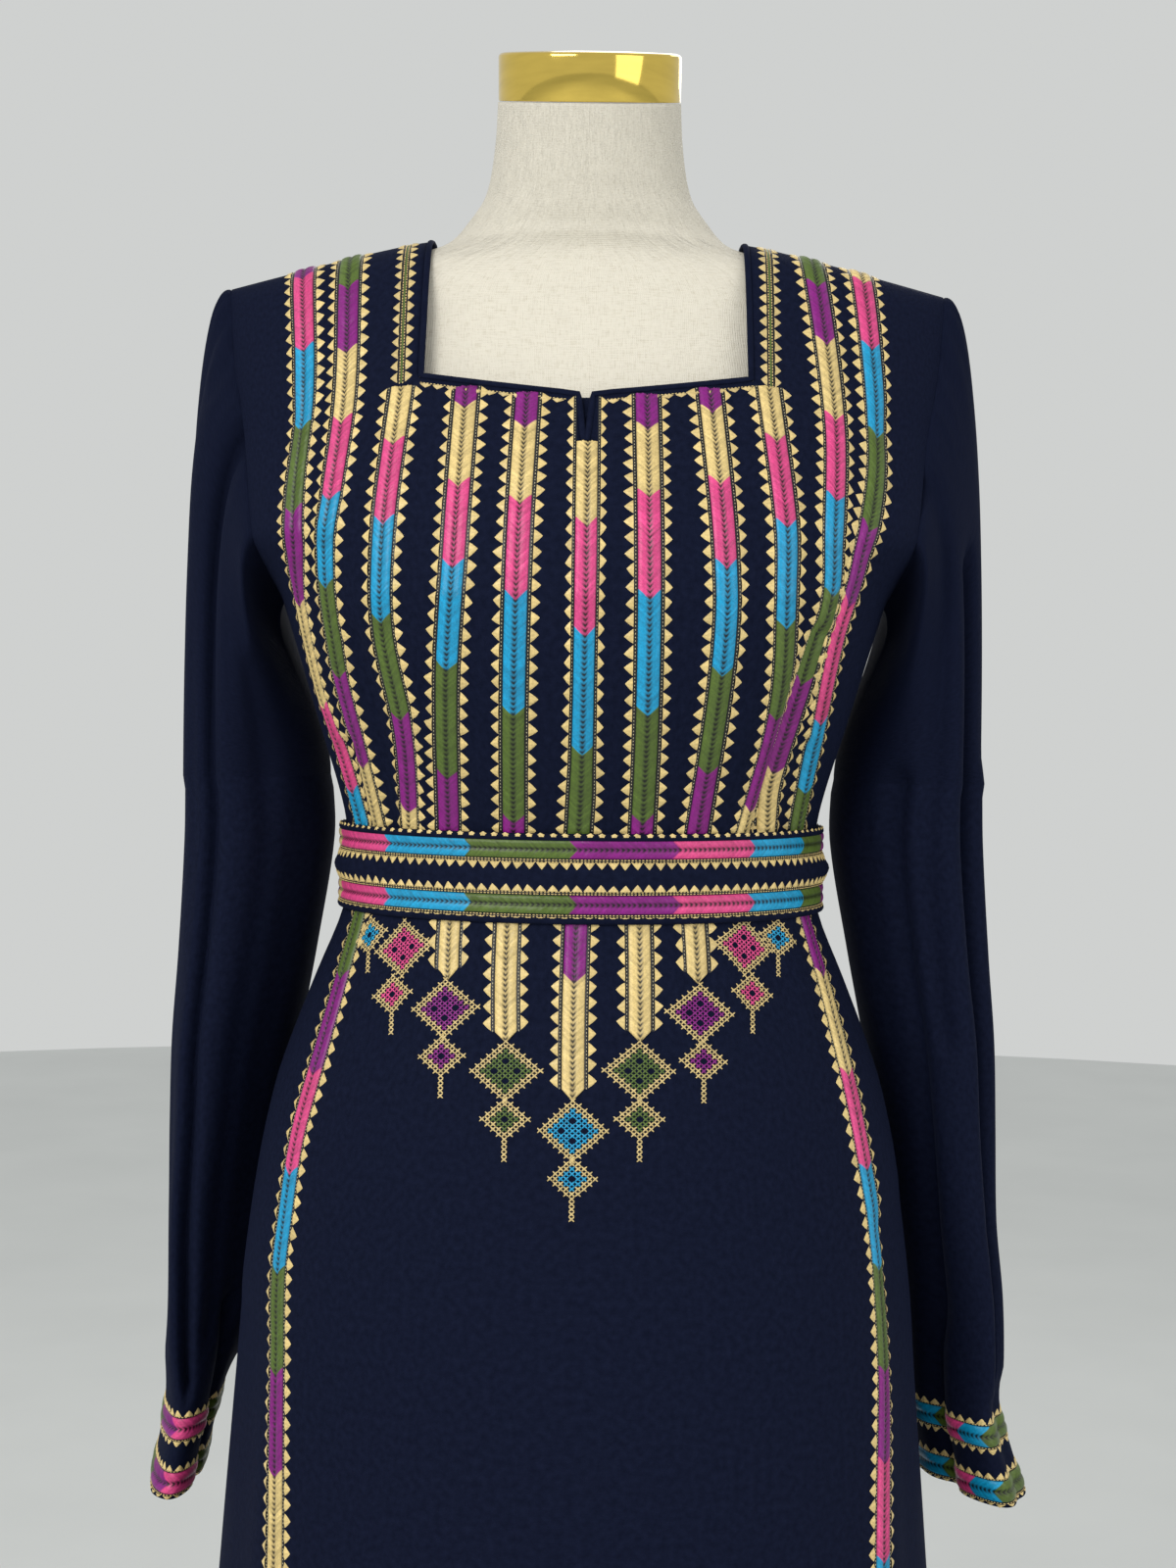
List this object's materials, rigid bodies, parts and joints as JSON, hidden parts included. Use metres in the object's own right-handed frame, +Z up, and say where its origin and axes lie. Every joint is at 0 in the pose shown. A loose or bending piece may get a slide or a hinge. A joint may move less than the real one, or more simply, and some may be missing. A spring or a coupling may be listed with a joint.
{
  "type": "palestinian thobe dress on dress form",
  "caption": "Floor-length navy embroidered thobe with square neck, long set-in sleeves and separate belt, worn by a limbless linen dress form on a round base.",
  "frame": {"origin": "centre of the underside of the form's round base", "axes": "+Z up the pole, the front of the dress faces -Y, the wearer's left is +X"},
  "size_m": [0.5489, 0.407, 1.5124],
  "materials": {
    "navy_crepe": "matt crepe",
    "embroidered_belt": "satin stitch",
    "linen": "matt plain weave",
    "brass": "polished",
    "steel": "satin"
  },
  "bodies": {
    "root": {"front": "navy_crepe", "back": "navy_crepe", "sleeve_left": "navy_crepe", "sleeve_right": "navy_crepe", "belt": "embroidered_belt", "belt_piping_top": "navy_crepe", "belt_piping_bottom": "navy_crepe", "neck_binding": "navy_crepe", "form_torso": "linen", "form_neck_cap": "brass", "form_pole": "steel", "form_base": "steel"}
  },
  "joints": []
}
